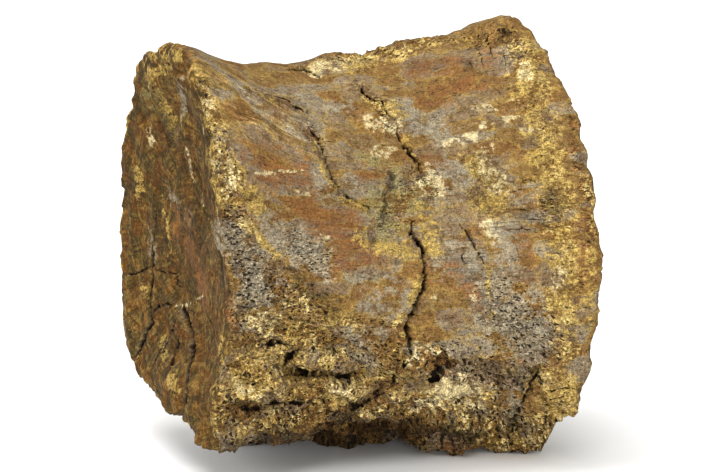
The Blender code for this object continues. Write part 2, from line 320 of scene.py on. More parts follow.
OCHRE = (
    (3.0, 0.45, (200, 72), (208, 104), (216, 134)),
    (4.4, 1.0, (214, 150), (222, 172), (224, 196)),
    (2.0, 1.0, (249, 196), (260, 206)),
    (1.5, 0.9, (244, 220), (258, 236), (277, 254)),
    (2.4, 0.6, (360, 237), (385, 245), (408, 252)),
    (1.0, 1.0, (314, 142), (318, 160), (326, 176), (336, 190), (348, 201), (366, 210)),
    (0.8, 0.9, (366, 98), (378, 100), (388, 110), (402, 124), (404, 142), (416, 156), (426, 172)),
    (0.8, 0.8, (418, 256), (420, 276), (414, 296), (402, 320)),
    (0.8, 0.9, (243, 86), (255, 94), (272, 102), (286, 106)),
    (2.6, 0.8, (304, 66), (330, 60), (352, 68)),
    (3.2, 0.8, (356, 62), (392, 54), (428, 42)),
    (2.2, 0.7, (362, 92), (378, 104), (400, 112)),
    (3.2, 1.0, (476, 162), (490, 178)),
    (3.2, 0.9, (480, 196), (500, 206)),
    (2.6, 0.6, (424, 208), (430, 226), (426, 240)),
    (2.0, 0.8, (428, 246), (438, 252)),
    (4.2, 0.9, (524, 48), (532, 84), (540, 124), (549, 160)),
    (3.6, 0.9, (551, 176), (558, 214), (563, 256), (566, 300), (566, 350)),
    (4.5, 1.0, (548, 382), (570, 396), (556, 410)),
    (3.6, 1.0, (528, 424), (546, 430)),
    (2.2, 0.9, (252, 316), (268, 318)),
    (2.0, 0.9, (293, 300), (307, 302)),
    (2.8, 0.9, (320, 330), (342, 322)),
    (3.0, 1.0, (268, 326), (300, 334)),
    (4.5, 0.9, (236, 350), (270, 356), (300, 354)),
    (5.0, 0.9, (232, 384), (272, 388), (316, 388)),
    (3.5, 0.9, (322, 386), (356, 390)),
    (3.2, 0.7, (330, 360), (372, 372), (396, 376)),
    (2.0, 1.0, (271, 418), (283, 418)),
    (2.0, 0.8, (212, 414), (222, 420)),
    (3.0, 0.7, (392, 402), (420, 404)),
    (0.7, 1.0, (489, 266), (491, 290), (490, 318)),
    (1.6, 0.8, (397, 322), (403, 336)),
    (1.6, 0.8, (352, 320), (360, 328)),
    (3.0, 0.6, (490, 400), (508, 436)),
    (1.4, 1.0, (171, 53), (178, 55)),
    (1.4, 0.7, (148, 80), (158, 94), (166, 112), (176, 134)),
    (1.6, 0.8, (136, 170), (140, 196)),
    (1.4, 0.7, (160, 340), (170, 372), (172, 396)),
    (1.6, 0.7, (144, 290), (150, 300)),
    (1.3, 0.7, (132, 330), (136, 350)),
    (2.0, 0.6, (470, 440), (500, 446), (530, 446)),
    (5.0, 0.9, (430, 398), (460, 412), (490, 438)),
    (4.0, 1.0, (520, 436), (540, 440), (560, 418)),
    (3.0, 0.8, (240, 430), (270, 426), (300, 420)),
    (3.0, 0.8, (330, 408), (380, 414), (410, 410)),
    (2.0, 0.8, (396, 352), (404, 362)),
    (4.0, 0.8, (478, 430), (520, 438)),
    (3.0, 0.5, (146, 66), (166, 60)),
    (1.6, 0.6, (206, 150), (212, 186)),
    (1.6, 0.5, (586, 180), (594, 250), (590, 320)),
    (1.2, 0.5, (160, 200), (166, 232), (170, 262)),
)
CREAM = (
    (2.4, 1.0, (378, 124), (392, 122)),
    (1.5, 0.8, (374, 148), (393, 153)),
    (0.8, 1.0, (425, 118), (426, 119)),
    (1.0, 0.9, (468, 112), (495, 108)),
    (1.1, 0.75, (446, 145), (462, 138), (477, 132)),
    (1.1, 0.7, (480, 128), (500, 121), (522, 116)),
    (0.7, 0.8, (507, 99), (522, 97)),
    (2.0, 1.0, (430, 172), (438, 184)),
    (1.8, 0.9, (418, 188), (430, 190)),
    (1.3, 0.9, (492, 224), (490, 236)),
    (1.0, 0.9, (321, 238), (326, 240)),
    (1.5, 0.8, (556, 275), (556, 290)),
    (0.8, 0.9, (432, 294), (438, 297)),
    (0.9, 0.9, (476, 288), (475, 298)),
    (1.6, 0.6, (149, 133), (153, 142)),
    (2.4, 0.7, (218, 156), (228, 176), (228, 192)),
    (4.2, 1.0, (426, 402), (448, 392), (462, 390)),
    (2.0, 0.7, (414, 404), (430, 406)),
    (1.5, 0.7, (522, 64), (526, 80)),
    (1.2, 0.7, (520, 128), (536, 132)),
    (1.6, 0.7, (252, 314), (266, 316)),
    (1.2, 0.6, (422, 345), (434, 352)),
    (3.0, 0.3, (446, 414), (478, 426)),
    (2.0, 0.5, (336, 390), (352, 394)),
    (2.0, 0.4, (204, 84), (210, 112)),
    (1.6, 0.5, (412, 352), (426, 366)),
    (1.6, 0.35, (236, 384), (262, 392)),
    (2.6, 0.6, (256, 318), (276, 322)),
    (2.6, 0.6, (450, 376), (470, 382)),
    (3.0, 0.65, (478, 146), (496, 180)),
    (3.0, 0.6, (452, 400), (474, 408)),
    (2.5, 0.55, (310, 70), (334, 64)),
)
# Thin veins of cream mineral, whose edges aren't ragged.
VEINS = (
    (0.32, 0.8, (254, 172), (262, 174), (270, 173), (279, 171), (286, 172), (302, 171)),
    (0.4, 0.8, (296, 191), (303, 194), (309, 194)),
    (0.5, 0.45, (186, 146), (189, 158), (192, 177), (197, 191), (204, 206), (212, 226)),
    (0.4, 0.8, (176, 306), (189, 305), (195, 300), (203, 295)),
    (0.3, 0.6, (235, 142), (238, 152), (240, 162)),
)
GREY = (
    (2.4, 1.0, (333, 108), (344, 108)),
    (2.2, 0.9, (394, 106), (404, 106)),
    (2.4, 0.9, (404, 118), (414, 130)),
    (3.8, 0.8, (410, 120), (438, 134)),
    (1.2, 0.7, (399, 84), (411, 85)),
    (2.0, 0.4, (298, 94), (310, 97)),
    (3.0, 0.8, (311, 184), (326, 190)),
    (2.0, 0.8, (352, 186), (380, 190)),
    (2.8, 0.8, (262, 208), (282, 242)),
    (4.2, 0.9, (294, 242), (318, 264)),
    (1.5, 0.9, (349, 280), (359, 282)),
    (3.6, 0.8, (250, 302), (276, 300)),
    (3.0, 0.8, (352, 334), (376, 338)),
    (4.0, 0.8, (446, 168), (468, 188)),
    (5.0, 0.8, (440, 250), (476, 266)),
    (4.0, 0.8, (500, 222), (510, 258)),
    (8.0, 0.8, (505, 308), (540, 340)),
    (3.0, 0.6, (230, 438), (300, 430)),
    (2.5, 0.6, (366, 300), (392, 310)),
    (3.0, 0.3, (262, 112), (300, 126)),
    (2.6, 0.2, (340, 140), (370, 160)),
    (3.0, 0.3, (150, 230), (152, 260)),
    (3.0, 0.35, (170, 190), (190, 220)),
    (5.0, 0.9, (234, 232), (246, 266), (262, 292)),
    (2.0, 0.6, (180, 84), (184, 110)),
    (3.0, 0.6, (505, 400), (516, 424)),
    (2.6, 0.7, (238, 330), (262, 332)),
    (2.4, 0.6, (330, 352), (352, 356)),
    (3.0, 0.7, (394, 284), (412, 302)),
    (3.0, 0.7, (506, 200), (528, 214)),
    (3.0, 0.6, (284, 286), (306, 302)),
)
OLIVE = (
    (3.0, 0.9, (404, 184), (418, 204)),
    (2.2, 0.8, (384, 204), (378, 236)),
    (3.6, 0.7, (322, 386), (356, 390)),
    (4.2, 0.7, (434, 396), (462, 392)),
    (2.6, 0.6, (340, 60), (372, 56)),
    (2.0, 0.7, (372, 214), (400, 226)),
    (3.0, 0.6, (150, 96), (168, 130)),
    (2.2, 0.6, (298, 286), (322, 300)),
    (3.0, 0.6, (358, 150), (384, 166)),
    (3.0, 0.9, (384, 196), (392, 214), (386, 236)),
    (3.5, 0.9, (392, 208), (412, 196), (420, 190)),
)
SPONGY = (
    (3.0, 0.6, (197, 82), (210, 128)),
    (3.8, 0.9, (216, 140), (228, 190)),
    (4.8, 1.0, (232, 220), (240, 262), (250, 290)),
    (5.5, 1.0, (256, 268), (276, 290)),
    (4.0, 0.7, (294, 242), (318, 264)),
    (5.0, 1.0, (292, 300), (318, 312)),
    (7.0, 0.85, (234, 322), (300, 340), (350, 352), (396, 366)),
    (8.0, 0.7, (232, 370), (300, 384), (370, 392)),
    (8.0, 1.0, (222, 410), (300, 418), (400, 408), (500, 420)),
    (6.0, 1.0, (430, 366), (470, 372), (530, 380)),
    (6.0, 0.5, (440, 395), (520, 405)),
    (8.0, 0.8, (505, 310), (542, 344)),
    (3.0, 0.8, (336, 58), (396, 52), (440, 38)),
    (4.0, 0.7, (476, 40), (506, 34), (520, 54)),
    (3.4, 0.4, (530, 60), (548, 130), (562, 200), (572, 280), (572, 360)),
    (1.6, 0.8, (574, 120), (582, 170), (590, 240)),
    (3.0, 0.8, (548, 200), (552, 226)),
    (2.2, 0.7, (360, 88), (380, 106), (386, 124)),
    (2.4, 0.8, (420, 176), (432, 190)),
    (3.2, 0.6, (404, 190), (388, 220)),
    (5.0, 0.5, (552, 388), (566, 404), (536, 430)),
    (2.5, 0.7, (350, 322), (400, 330)),
    (1.5, 0.7, (308, 130), (320, 142)),
)
# Where long fibres show.
FIBROUS = (
    (6.0, 1.0, (214, 74), (244, 92), (290, 112)),
    (5.0, 1.0, (240, 110), (280, 130), (306, 150)),
    (4.0, 0.8, (480, 50), (512, 50), (524, 70)),
    (4.0, 0.7, (444, 246), (476, 276)),
    (3.0, 0.7, (236, 262), (270, 292)),
    (4.0, 0.6, (500, 215), (540, 225)),
)
# Dark marks: real stains, and painted shade in holes, in the end face's groove, in a pocket and a crevice
# of the broken bone, and under the bone's lower edge, where its cavities lie in shadow.
STAINS_AND_SHADE = (
    (1.4, 0.9, (467, 62), (470, 70)),
    (1.5, 0.9, (505, 30), (508, 42)),
    (1.8, 0.8, (168, 130), (171, 142)),
    (3.2, 0.45, (478, 366), (512, 378), (534, 382)),
    (2.6, 0.8, (552, 192), (556, 216)),
    (2.4, 0.6, (522, 212), (544, 224)),
    (2.8, 0.7, (300, 282), (322, 296), (338, 312)),
    (1.6, 0.6, (150, 84), (160, 110), (170, 132)),
    (3.0, 0.4, (200, 120), (208, 170), (212, 210)),
    (3.0, 0.7, (236, 404), (258, 412)),
    (2.6, 0.8, (344, 414), (380, 390)),
    (1.6, 0.6, (438, 358), (450, 364)),
    (3.6, 1.0, (448, 432), (474, 438)),
    (0.8, 1.0, (393, 178), (390, 193), (385, 210), (382, 220), (373, 228), (373, 243)),
    (1.0, 0.9, (282, 264), (296, 276), (306, 284), (318, 292)),
    (3.6, 1.0, (264, 438), (290, 438), (314, 436)),
    (4.0, 1.0, (320, 438), (350, 440), (378, 438)),
    (4.5, 1.0, (356, 429), (384, 430), (410, 431), (440, 431)),
    (2.0, 0.4, (226, 330), (232, 346), (250, 350)),
    (2.6, 0.3, (500, 392), (508, 410), (514, 430)),
    (2.6, 0.5, (396, 374), (418, 384)),
)

# The broken zone on the sides that the photograph doesn't show: below this line, as (x, z).
BREAK_LINE = ((-50, 46), (-30, 40), (-10, 31), (10, 27), (50, 17))


def smooth_step(low, high, value):
    share = np.clip((value - low) / (high - low), 0.0, 1.0)
    return share * share * (3 - 2 * share)


def linear_colour(code):
    """The linear colour of an sRGB hex code such as #A0B1C2."""
    channels = [int(code[place:place + 2], 16) / 255 for place in (1, 3, 5)]
    return tuple(c / 12.92 if c <= 0.04045 else ((c + 0.055) / 1.055) ** 2.4 for c in channels)


def length_value(name, description, millimetres):
    return FloatProperty(name=name, description=description, default=millimetres * MM, unit="LENGTH")


def strength_value(name, description, strength):
    return FloatProperty(name=name, description=description, default=strength)


def angle_value(name, description, degrees):
    return FloatProperty(
        name=name, description=description, default=math.radians(degrees), subtype="ANGLE"
    )


def colour_value(name, description, code):
    return FloatVectorProperty(
        name=name, description=description, default=linear_colour(code), subtype="COLOR", size=3
    )


class FossilSizes(bpy.types.PropertyGroup):
    skin_cell: length_value("Skin cell", "Edge of the cells that the skin is rebuilt from", 0.5)
    crack_reach: length_value("Crack reach", "Breadth beside a crack where the mesh is made finer", 0.9)
    crumb_height: length_value("Crumb height", "Relief of the open spongy bone", 1.0)
    crumb_breadth: length_value("Crumb breadth", "Size of the crumbs of the open spongy bone", 1.7)
    fibre_height: length_value("Fibre height", "Relief of the fibres along the flank", 0.14)
    fibre_breadth: length_value("Fibre breadth", "Distance between fibres", 1.5)
    crust_height: length_value("Crust height", "How far the ochre crust stands out", 0.3)
    pore_spacing: length_value("Pore spacing", "Distance between the pores of the spongy bone", 0.75)
    triangles: IntProperty(
        name="Triangles", description="Triangles of the skin before its cracks", default=125000
    )


class FossilColours(bpy.types.PropertyGroup):
    brown: colour_value("Brown", "Fibrous bone of the flank", "#785C32")
    mauve: colour_value("Mauve", "Fibrous bone with a mauve tint", "#7A6A54")
    rust: colour_value("Rust", "Polished iron-stained bone", "#795028")
    deep_rust: colour_value("Deep rust", "The deepest iron stains", "#663D1A")
    grey: colour_value("Grey", "Bare grey bone", "#867D69")
    umber: colour_value("Umber", "Darkest grains of the crust", "#6A4A22")
    ochre: colour_value("Ochre", "Yellow crust", "#9A7E3E")
    gold: colour_value("Gold", "Bright grains of the crust", "#AE9450")
    cream: colour_value("Cream", "Pale mineral fill", "#BDAC80")
    olive: colour_value("Olive", "Greenish stains", "#7C7348")
    # The end faces' colours are their own olive-brown, made darker still as painted shade, since the faces
    # stand turned from the light.
    face: colour_value("Face", "Olive-brown skin of the end faces", "#443413")
    face_light: colour_value("Face light", "Pale growth lines of the end faces", "#7E6633")
    warm_face: colour_value("Warm face", "Brown streaks of the end faces", "#583810")
    # Dark earth, also laid on as painted shade in recesses, pits, cracks and under the bone.
    earth_and_shade: colour_value("Pore", "Earth in pores and cracks", "#22150A")


class StageSettings(bpy.types.PropertyGroup):
    yaw: angle_value("Yaw", "Camera's angle round the bone", -21)
    pitch: angle_value("Pitch", "Camera's angle over the floor", 8)
    distance: length_value("Distance", "From the camera to its target", 621)
    target: FloatVectorProperty(
        name="Target", description="Point that the camera looks at", default=(0.002, 0.001, 0.0575),
        subtype="TRANSLATION", unit="LENGTH"
    )
    lens: FloatProperty(name="Lens", description="Focal length in millimetres", default=120.0)
    sensor: FloatProperty(name="Sensor", description="Sensor width in millimetres", default=36.0)
    floor_size: length_value("Floor size", "Edge of the pale floor", 12000)
    floor: colour_value("Floor", "Pale studio floor", "#FEFEFD")
    key_light: strength_value("Key light", "Strength of the light over the camera", 1.35)
    left_light: strength_value("Left light", "Strength of the light at the left", 1.1)
    front_light: strength_value("Front light", "Strength of the low light", 1.35)
    top_light: strength_value("Top light", "Strength of the light from above", 1.3)
    sky_light: strength_value("Sky light", "Strength of the light from all round", 0.6)


class PhotoView:
    """The camera as the photograph had it, in millimetres, to find what a pixel shows."""

    def __init__(self, stage):
        self.back = Vector((
            math.sin(stage.yaw) * math.cos(stage.pitch),
            -math.cos(stage.yaw) * math.cos(stage.pitch),
            math.sin(stage.pitch),
        ))
        self.right = Vector((math.cos(stage.yaw), math.sin(stage.yaw), 0))
        self.up = self.back.cross(self.right)
        self.eye = (Vector(stage.target) + self.back * stage.distance) / MM
        self.focal = stage.lens / stage.sensor * PHOTO_WIDTH

    def meet(self, skin, pixel):
        """The point of the skin that a pixel shows. A pixel just off its edge is moved in to it."""
        for moved in range(PIXEL_MOVES):
            share = moved * PIXEL_MOVE
            u, v = (place + (middle - place) * share for place, middle in zip(pixel, PHOTO_MIDDLE))
            across = (u - PHOTO_WIDTH / 2) / self.focal
            above = (PHOTO_HEIGHT / 2 - v) / self.focal
            hit = skin.ray_cast(self.eye, self.right * across + self.up * above - self.back)[0]
            if hit is not None:
                return np.array(hit)
        raise RuntimeError(f"pixel {pixel} doesn't meet the bone")

    def routes(self, skin, marks):
        """The marks with their pixels turned into points of the skin, a few pixels apart."""
        found = []
        for breadth, amount, *pixels in marks:
            route = [self.meet(skin, pixels[0])]
            for start, end in zip(pixels[:-1], pixels[1:]):
                steps = math.ceil(math.dist(start, end) / ROUTE_STEP)
                for step in range(1, steps + 1):
                    share = step / steps
                    pixel = [a + (b - a) * share for a, b in zip(start, end)]
                    route.append(self.meet(skin, pixel))
            found.append((breadth, amount, np.array(route)))
        return found


def points_of(mesh):
    flat = np.empty(len(mesh.vertices) * 3, np.float32)
    mesh.vertices.foreach_get("co", flat)
    return flat.reshape(-1, 3).astype(float) / MM


def normals_of(mesh):
    flat = np.empty(len(mesh.vertices) * 3, np.float32)
    mesh.vertices.foreach_get("normal", flat)
    return flat.reshape(-1, 3).astype(float)


def edges_of(mesh):
    flat = np.empty(len(mesh.edges) * 2, np.int32)
    mesh.edges.foreach_get("vertices", flat)
    return flat.reshape(-1, 2)


def place_points(mesh, points):
    """Puts the vertices at new places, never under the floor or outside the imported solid's box."""
    low, high = (np.array(corner) / MM for corner in CAD_BOX)
    kept = np.clip(points, low, high)
    mesh.vertices.foreach_set("co", (kept * MM).astype(np.float32).ravel())
    mesh.update()


def store(mesh, name, values):
    """Keeps a value for each vertex, which the material reads by its name."""
    kind = "FLOAT" if values.ndim == 1 else "FLOAT_VECTOR"
    attribute = mesh.attributes.new(name, kind, "POINT")
    field = "value" if values.ndim == 1 else "vector"
    attribute.data.foreach_set(field, values.astype(np.float32).ravel())


def bumps(points, breadth, seed=0.0, basis="PERLIN_ORIGINAL"):
    """Smooth random relief from about -1 to 1. The breadth may differ along x, y and z."""
    scaled = points / np.array(breadth) + np.array((seed, 2 * seed, 3 * seed))
    return np.array([noise.noise(place, noise_basis=basis) for place in scaled.tolist()])


def rough_bumps(points, breadth, octaves=4, seed=0.0):
    """Random relief with ever finer relief on it."""
    scaled = points / np.array(breadth) + np.array((seed, 2 * seed, 3 * seed))
    return np.array([noise.fractal(place, 0.7, 2.1, octaves) for place in scaled.tolist()])


def shake(points, breadth, seeds):
    """A random step for each point, from about -1 to 1 along x, y and z."""
    return np.stack([bumps(points, breadth, seed) for seed in seeds], axis=1)


def averaged(values, edges, rounds):
    """Each vertex's value averaged with its neighbours', some rounds over."""
    first, second = edges.T
    count = len(values)
    neighbours = np.maximum(np.bincount(first, minlength=count) + np.bincount(second, minlength=count), 1)
    for _ in range(rounds):
        near = np.bincount(first, weights=values[second], minlength=count)
        near += np.bincount(second, weights=values[first], minlength=count)
        values = (values + near / neighbours) / 2
    return values


def averaged_points(points, edges, rounds):
    return np.stack([averaged(points[:, axis], edges, rounds) for axis in range(3)], axis=1)


def from_route(points, route, reach):
    """Distance of each point from a route, and how far it lies over it, where they are near."""
    distance = np.full(len(points), np.inf)
    over = np.zeros(len(points))
    near = np.all((points > route.min(0) - reach) & (points < route.max(0) + reach), axis=1)
    places = points[near]
    best = np.full(len(places), np.inf)
    above = np.zeros(len(places))
    for start, end in zip(route[:-1], route[1:]):
        run = end - start
        share = np.clip((places - start) @ run / (run @ run), 0, 1)
        away = places - start - share[:, None] * run
        length = np.linalg.norm(away, axis=1)
        closer = length < best
        best[closer] = length[closer]
        above[closer] = away[closer, 2]
    distance[near] = best
    over[near] = above
    return distance, over


def painted(points, strokes):
    """How strongly the strokes cover each point, from 0 to 1."""
    cover = np.zeros(len(points))
    for half_width, strength, route in strokes:
        distance, _ = from_route(points, route, 1.9 * half_width)
        cover = np.maximum(cover, strength * (1 - smooth_step(0.15, 1.85, distance / half_width)))
    return cover


def only(obj):
    """Makes an object the one that is selected and active."""
    bpy.ops.object.select_all(action="DESELECT")
    obj.select_set(True)
    bpy.context.view_layer.objects.active = obj


def apply_modifier(obj, kind, **settings):
    modifier = obj.modifiers.new(kind.lower(), kind)
    for name, value in settings.items():
        setattr(modifier, name, value)
    only(obj)
    bpy.ops.object.modifier_apply(modifier=modifier.name)


def weigh(obj, name, weights):
    """A vertex group that holds these weights, in steps of a twentieth."""
    group = obj.vertex_groups.new(name=name)
    steps = np.round(weights * 20).astype(int)
    for step in range(1, 21):
        group.add(np.nonzero(steps == step)[0].tolist(), step / 20, "REPLACE")
    return group.name


def copy_of_solid(name):
    """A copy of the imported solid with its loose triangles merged."""
    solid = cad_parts["centrum"]
    piece = bpy.data.objects.new(name, solid.data.copy())
    bpy.context.scene.collection.objects.link(piece)
    piece.data.materials.clear()
    only(piece)
    bpy.ops.object.mode_set(mode="EDIT")
    bpy.ops.mesh.select_all(action="SELECT")
    bpy.ops.mesh.remove_doubles(threshold=0.01 * MM)
    bpy.ops.object.mode_set(mode="OBJECT")
    return piece


def skin_of(mesh):
    """The surface of a mesh in millimetres, to cast rays on."""
    mesh.calc_loop_triangles()
    triangles = np.empty(len(mesh.loop_triangles) * 3, np.int32)
    mesh.loop_triangles.foreach_get("vertices", triangles)
    return BVHTree.FromPolygons(points_of(mesh).tolist(), triangles.reshape(-1, 3).tolist())


class BoneZones:
    """Where each point of the bone lies: on which end or flank, and along which fibre."""

    def __init__(self, points, normals, view):
        spoke = points - np.array((0, 0, AXIS_HEIGHT))
        spoke[:, 0] = 0
        radius = np.linalg.norm(spoke, axis=1)
        lean = FIBRE_LEAN * smooth_step(*LEAN_ALONG, points[:, 0]) * smooth_step(*LEAN_HEIGHT, spoke[:, 2])
        angle = np.arctan2(spoke[:, 2], spoke[:, 1]) - lean * (spoke[:, 1] < 0)
        unit = np.column_stack((0 * angle, np.cos(angle), np.sin(angle)))
        facing = normals[:, 0]
        self.dished = smooth_step(*DISHED_SLOPE, -facing) * smooth_step(*END_DISTANCE, -points[:, 0])
        self.broad = smooth_step(*BROAD_SLOPE, facing) * smooth_step(*END_DISTANCE, points[:, 0])
        self.flank = 1 - np.maximum(self.dished, self.broad)
        along = points[:, 0] + (MEAN_RADIUS - radius) * (self.broad - self.dished)
        self.fibres = np.column_stack((along, MEAN_RADIUS * unit[:, 1:]))
        uneven = radius + 3.0 * bumps(points, 13, seed=51) + 1.2 * bumps(points, 5, seed=52)
        turned = self.fibres[:, 1:] + 2.0 * shake(points, 9, (53, 54))
        self.folds = np.column_stack((uneven, turned))
        towards = np.array(view.eye) - points
        towards /= np.linalg.norm(towards, axis=1)[:, None]
        self.shown = smooth_step(*SHOWN_SLOPE, (normals * towards).sum(1))
        self.under = smooth_step(*UNDER_SLOPE, -normals[:, 2])
        line_x, line_z = zip(*BREAK_LINE)
        line = np.interp(points[:, 0], line_x, line_z)
        self.below_break = smooth_step(*BREAK_DEPTH, line - points[:, 2]) * self.flank
        self.foot = smooth_step(*FOOT_HEIGHT, points[:, 2]) * self.flank
        near_rim = smooth_step(*RIM_DISTANCE, RIM_X - np.abs(points[:, 0]))
        self.rim = near_rim * smooth_step(*RIM_RADIUS, radius)


def warped(points, coarse=1.8, fine=1.0):
    """The points shaken a little, so that the edges of what is painted on them are ragged."""
    return points + coarse * shake(points, 7, (1, 2, 3)) + fine * shake(points, 2.1, (4, 5, 6))


def nudged(points, skin, view):
    """The points with the bone's outline moved as the nudges say."""
    moved = points.copy()
    for reach, right, up, pixel in NUDGES:
        away = np.linalg.norm(points - view.meet(skin, pixel), axis=1)
        share = np.maximum(1 - (away / reach) ** 2, 0) ** 2
        moved += share[:, None] * np.array(view.right * right + view.up * up)
    return moved


def spongy_cover(points, zones, strokes):
    """Where the outer bone is gone and the spongy bone lies open."""
    ragged = bumps(points, 9, seed=7)
    unseen = np.maximum(zones.below_break, smooth_step(0.2, 0.6, ragged) * zones.flank * 0.8)
    unseen = np.maximum(unseen, 0.7 * zones.rim)
    hidden = np.maximum(zones.under, zones.foot)
    unseen = np.maximum(unseen, hidden)
    seen = np.maximum(painted(points, strokes), hidden)
    return np.where(zones.shown > 0.5, seen, unseen) * (1 - 0.9 * np.maximum(zones.dished, zones.broad))


def relief(points, zones, sponge, crust, fibrous, sizes):
    """The height of the skin's relief at each point, in millimetres."""
    fibre = bumps(zones.fibres, (11, sizes.fibre_breadth / MM, sizes.fibre_breadth / MM), seed=8)
    fine_fibre = bumps(zones.fibres, (5, 0.9, 0.9), seed=9)
    strands = sizes.fibre_height / MM * (fibre + 0.6 * fine_fibre) * zones.flank
    strands *= 1 + LONG_FIBRES * fibrous
    swells = SWELL_HEIGHT * bumps(points, 8, seed=10)
    folds = FOLD_HEIGHT * bumps(zones.folds, (2.2, 16, 16), seed=11)
    rays = RAY_HEIGHT * (zones.dished + BROAD_SHARE * zones.broad)
    folds += rays * bumps(zones.folds, (14, 2.2, 2.2), seed=12)
    face = np.maximum(zones.dished, zones.broad)
    face *= folds + FACE_GRAIN * rough_bumps(points, 4, 4, seed=13)
    crumb = sizes.crumb_breadth / MM * np.array(CRUMB_SHAPE)
    shaken = points + 0.5 * shake(points, 1.5, (41, 42, 43))
    crumbs = smooth_step(-1.0, -0.1, bumps(shaken, crumb, 14, "VORONOI_F2F1"))
    lumps = rough_bumps(points, (5, 4, 3), 4, seed=15)
    layers = bumps(shaken, (8, 4, 1.5), seed=16)
    pits = smooth_step(0.05, -0.45, bumps(points, 1.6, seed=19))
    open_bone = CRUMB_SHARE * crumbs + LUMP_SHARE * lumps + LAYER_SHARE * layers - PIT_SHARE * pits
    open_bone *= sizes.crumb_height / MM
    grains = 0.5 + 0.5 * rough_bumps(points, 1.3, 3, seed=17)
    crusted = sizes.crust_height / MM * crust * (1 + grains)
    grit = GRIT_HEIGHT * rough_bumps(points, 1.0, 2, seed=18)
    rubble = FOOT_RUBBLE * zones.foot + RIM_RUBBLE * zones.rim + SPONGE_RUBBLE * sponge
    rubble *= rough_bumps(points, 4.5, 3, seed=19)
    skin = swells + grit + strands * (1 - sponge) + face * (1 - 0.5 * sponge)
    return skin + sponge * (open_bone - OPEN_BONE_DEPTH) + crusted + rubble


def swollen(points, swells):
    """How far the swells stand out at each point. Dents count below zero."""
    height = np.zeros(len(points))
    for half_width, rise, route in swells:
        distance, _ = from_route(points, route, 1.6 * half_width)
        height += rise * (1 - smooth_step(0.2, 1.5, distance / half_width))
    return height


def carved(points, ledges, holes):
    """How deep the undercut ledges and holes go in at each point."""
    depth = np.zeros(len(points))
    for half_width, deep, route in ledges:
        distance, over = from_route(points, route, 1.5 * half_width)
        above = 1 - smooth_step(0.1, 0.9, over)
        fade = 1 - smooth_step(0.35, 1.1, distance / half_width)
        depth = np.maximum(depth, deep * above * fade)
    for radius, deep, place in holes:
        distance = np.linalg.norm(points - place, axis=1)
        depth = np.maximum(depth, deep * (1 - smooth_step(0.3, 1.1, distance / radius)))
    return depth


def tucked(points):
    """Slides the foot under the dished end back from the near flank, to where its lumps show."""
    low = smooth_step(*TUCK_HEIGHT, points[:, 2])
    left = smooth_step(*TUCK_ALONG, points[:, 0]) * smooth_step(*TUCK_INSIDE, points[:, 0])
    near = smooth_step(*TUCK_ACROSS, points[:, 1])
    return points + np.column_stack((0 * low, TUCK_BACK * low * left * near, 0 * low))


def crack_cover(points, cracks):
    """How deep the cracks go in at each point, and how much of a crack it is."""
    depth = np.zeros(len(points))
    cover = np.zeros(len(points))
    wander = 0.3 * shake(points, 1.6, (21, 22, 23))
    swell = 1 + 0.5 * bumps(points, 3, seed=24) + 0.5 * bumps(points, 0.9, seed=25)
    for width, deep, route in cracks:
        distance, _ = from_route(points + wander, route, 2 * width + 1)
        ends = np.linalg.norm(points - route[0], axis=1), np.linalg.norm(points - route[-1], axis=1)
        taper = smooth_step(-1.0, 3.0, np.minimum(*ends))
        half_width = 0.5 * width * swell * taper + 0.03
        depth = np.maximum(depth, deep * taper * (1 - smooth_step(0.3, 1.2, distance / half_width)))
        cover = np.maximum(cover, 1 - smooth_step(0.6, 1.3, distance / half_width))
    return depth, cover


def nearest_route(points, marks, reach):
    distance = np.full(len(points), np.inf)
    for *_, route in marks:
        distance = np.minimum(distance, from_route(points, route, reach)[0])
    return distance


def refine_near(piece, marks, reach):
    """Halves the edges of the mesh beside the marks."""
    mesh = piece.data
    near = nearest_route(points_of(mesh), marks, reach + 1) < reach
    only(piece)
    bpy.ops.object.mode_set(mode="EDIT")
    bpy.ops.mesh.select_mode(type="VERT")
    bpy.ops.mesh.select_all(action="DESELECT")
    bpy.ops.object.mode_set(mode="OBJECT")
    mesh.vertices.foreach_set("select", near)
    bpy.ops.object.mode_set(mode="EDIT")
    bpy.ops.mesh.select_mode(type="VERT")
    bpy.ops.mesh.subdivide(number_cuts=1)
    bpy.ops.mesh.select_all(action="SELECT")
    bpy.ops.mesh.quads_convert_to_tris()
    bpy.ops.object.mode_set(mode="OBJECT")


def fill_packed_cracks(piece, cracks, sizes):
    """Rebuilds the skin in even cells, closes the solid's plain cracks and softens its facets."""
    apply_modifier(piece, "REMESH", mode="VOXEL", voxel_size=sizes.skin_cell)
    points = points_of(piece.data)
    flat = np.array((1, 0, 1))
    flat_cracks = [(route * flat,) for *_, route in cracks]
    inside = nearest_route(points * flat, flat_cracks, CRACK_FILL_REACH + 1) < CRACK_FILL_REACH
    inside &= points[:, 1] < 0
    group = weigh(piece, "packed cracks", inside.astype(float))
    apply_modifier(piece, "SMOOTH", factor=0.5, iterations=CRACK_FILL_ROUNDS, vertex_group=group)
    apply_modifier(piece, "SMOOTH", factor=0.5, iterations=FACET_ROUNDS)


